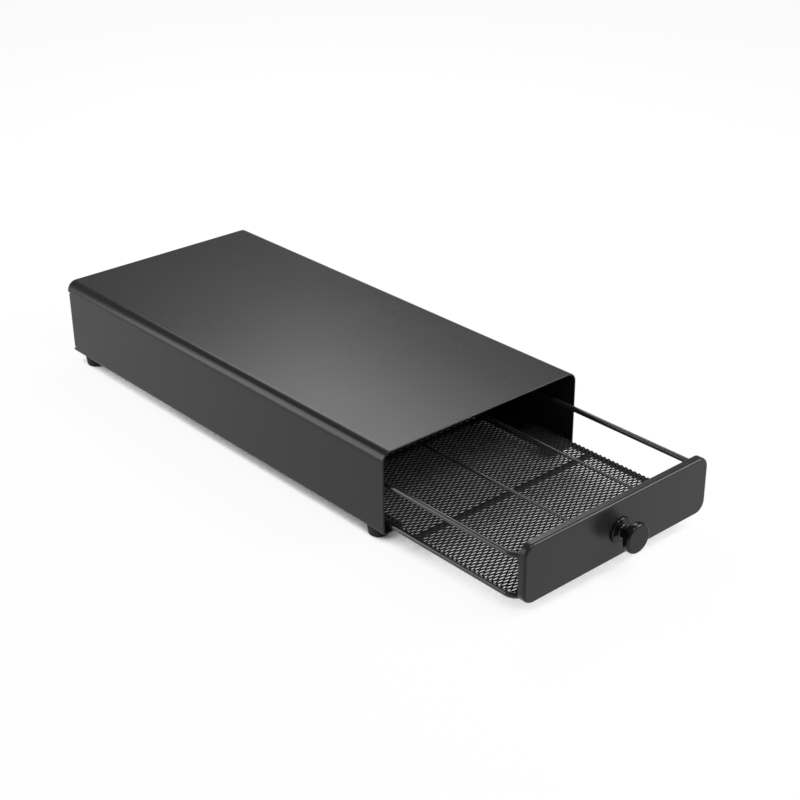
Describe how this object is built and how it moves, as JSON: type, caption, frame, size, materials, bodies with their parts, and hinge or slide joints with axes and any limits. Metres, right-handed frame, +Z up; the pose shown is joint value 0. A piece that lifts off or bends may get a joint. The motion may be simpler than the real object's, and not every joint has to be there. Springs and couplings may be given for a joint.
{
  "type": "coffee pod drawer",
  "caption": "Low folded-steel casing on rubber feet with a wire-frame, mesh-floored drawer for coffee pods that slides out of its front by a round knob.",
  "frame": {"origin": "centre of the bottom of the bounding box at rest, with the drawer open: on the surface that the feet stand on, on the plane of symmetry, half-way between the knob's face and the screw heads at the back", "axes": "+X to the right seen from the front, +Y from the drawer's front to the back of the casing, +Z up"},
  "size_m": [0.17, 0.4976, 0.0645],
  "materials": {
    "coat": "satin black powder coat, fine grain",
    "wire_coat": "satin black powder coat on round wire",
    "mesh_coat": "semi-gloss black coat on expanded steel mesh",
    "knob_lacquer": "gloss black lacquer on turned metal",
    "foot_rubber": "matt moulded rubber",
    "runner_plastic": "matt black moulded nylon",
    "screw_steel": "bright zinc plate"
  },
  "bodies": {
    "casing": {"casing_shell": "coat", "back_panel": "coat", "back_screws": "screw_steel", "foot_front_left": "foot_rubber", "foot_front_right": "foot_rubber", "foot_rear_left": "foot_rubber", "foot_rear_right": "foot_rubber", "runner_left": "runner_plastic", "runner_right": "runner_plastic", "stop_left": "coat", "stop_right": "coat", "buffer_left": "foot_rubber", "buffer_right": "foot_rubber"},
    "drawer": {"front_panel": "coat", "bracket_left": "coat", "bracket_right": "coat", "knob": "knob_lacquer", "knob_rose": "knob_lacquer", "knob_screw": "screw_steel", "knob_washer": "screw_steel", "lower_frame": "wire_coat", "upper_frame": "wire_coat", "rear_loop": "wire_coat", "floor_wires": "wire_coat", "mesh_floor": "mesh_coat", "divider_left": "wire_coat", "divider_right": "wire_coat"}
  },
  "joints": [
    {"name": "drawer_slide", "type": "slide", "parent": "casing", "child": "drawer", "axis": [0, -1, 0], "range_m": [-0.116, 0.1993]}
  ]
}
